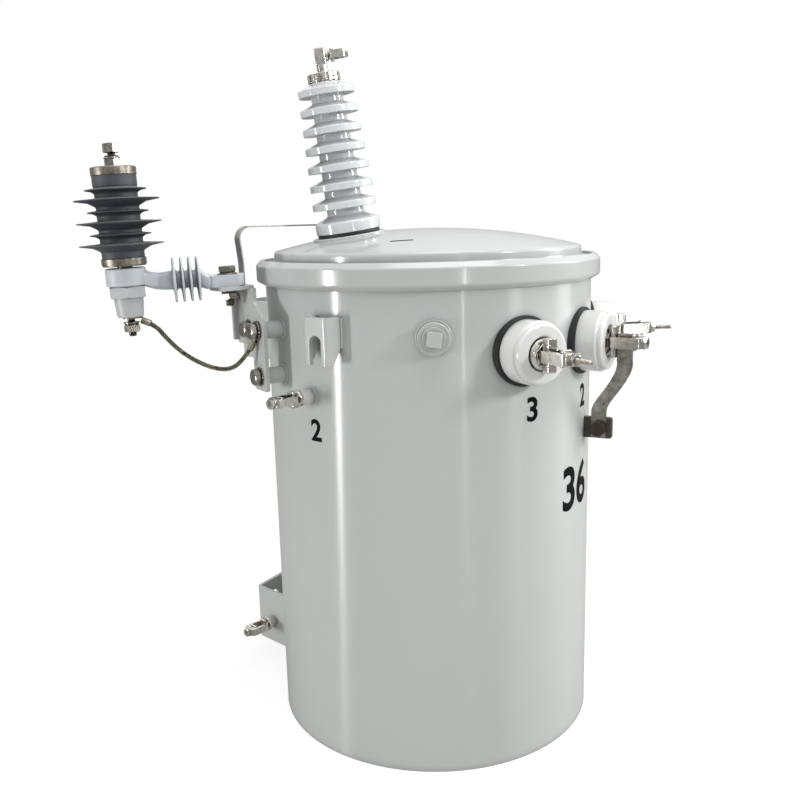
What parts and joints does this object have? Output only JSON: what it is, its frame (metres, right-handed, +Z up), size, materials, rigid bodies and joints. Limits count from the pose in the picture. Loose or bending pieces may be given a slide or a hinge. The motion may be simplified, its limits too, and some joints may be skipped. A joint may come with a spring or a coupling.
{
  "type": "pole mounted transformer",
  "caption": "Round painted transformer tank with domed lid, shedded porcelain bushing, arrester on a finned arm, eyebolt terminals and pole hangers.",
  "frame": {"origin": "centre of the tank's underside, on the floor", "axes": "+Z up along the tank's axis, +X towards the low voltage bushings, -X towards the pole"},
  "size_m": [0.6223, 0.6178, 0.9206],
  "materials": {
    "tank_paint": "gloss light grey paint",
    "tab_paint": "dark grey paint",
    "fastener_steel": "plated, slightly brown",
    "galvanised_steel": "galvanised, dull",
    "cap_aluminium": "satin",
    "tinned_metal": "tinned, satin",
    "braid_metal": "braided, dull",
    "arrester_rubber": "matt dark grey",
    "gasket_rubber": "matt black",
    "arm_plastic": "pale blue grey",
    "disconnector_plastic": "mid grey",
    "grey_porcelain": "grey glaze",
    "white_porcelain": "white glaze"
  },
  "bodies": {
    "root": {"arm_bolt": "fastener_steel", "arrester_bottom_cap": "cap_aluminium", "arrester_bracket": "tank_paint", "arrester_housing": "arrester_rubber", "arrester_terminal": "fastener_steel", "arrester_top_cap": "cap_aluminium", "band_bolt": "fastener_steel", "band_lugs": "tank_paint", "bracket_bolts": "fastener_steel", "bushing_cap_nut": "tinned_metal", "bushing_clamp": "tinned_metal", "bushing_gasket": "gasket_rubber", "bushing_porcelain": "grey_porcelain", "bushing_terminal": "tinned_metal", "cover": "tank_paint", "cover_band": "tank_paint", "cover_strap": "galvanised_steel", "cover_stud": "fastener_steel", "disconnector": "disconnector_plastic", "disconnector_stud": "fastener_steel", "ground_lead": "braid_metal", "ground_strap": "tinned_metal", "ground_tab": "tab_paint", "ground_tab_bolt": "fastener_steel", "hanger_boss": "tank_paint", "hanger_ground_clamp": "tinned_metal", "hanger_ground_eyebolt": "tinned_metal", "insulating_arm": "arm_plastic", "lead_lugs": "tinned_metal", "lifting_lug_far": "tank_paint", "lifting_lug_near": "tank_paint", "lower_hanger": "tank_paint", "lv_bushing_1": "white_porcelain", "lv_bushing_2": "white_porcelain", "lv_bushing_3": "white_porcelain", "lv_clamp_1": "tinned_metal", "lv_clamp_2": "tinned_metal", "lv_clamp_3": "tinned_metal", "lv_eyebolt_1": "tinned_metal", "lv_eyebolt_2": "tinned_metal", "lv_eyebolt_3": "tinned_metal", "lv_gasket_1": "gasket_rubber", "lv_gasket_2": "gasket_rubber", "lv_gasket_3": "gasket_rubber", "oil_plug": "tank_paint", "strap_rivet": "fastener_steel", "tank_bosses": "tank_paint", "tank_bottom": "tank_paint", "tank_shell": "tank_paint", "upper_hanger": "tank_paint", "wall_ground_clamp": "tinned_metal", "wall_ground_eyebolt": "tinned_metal"}
  },
  "joints": []
}
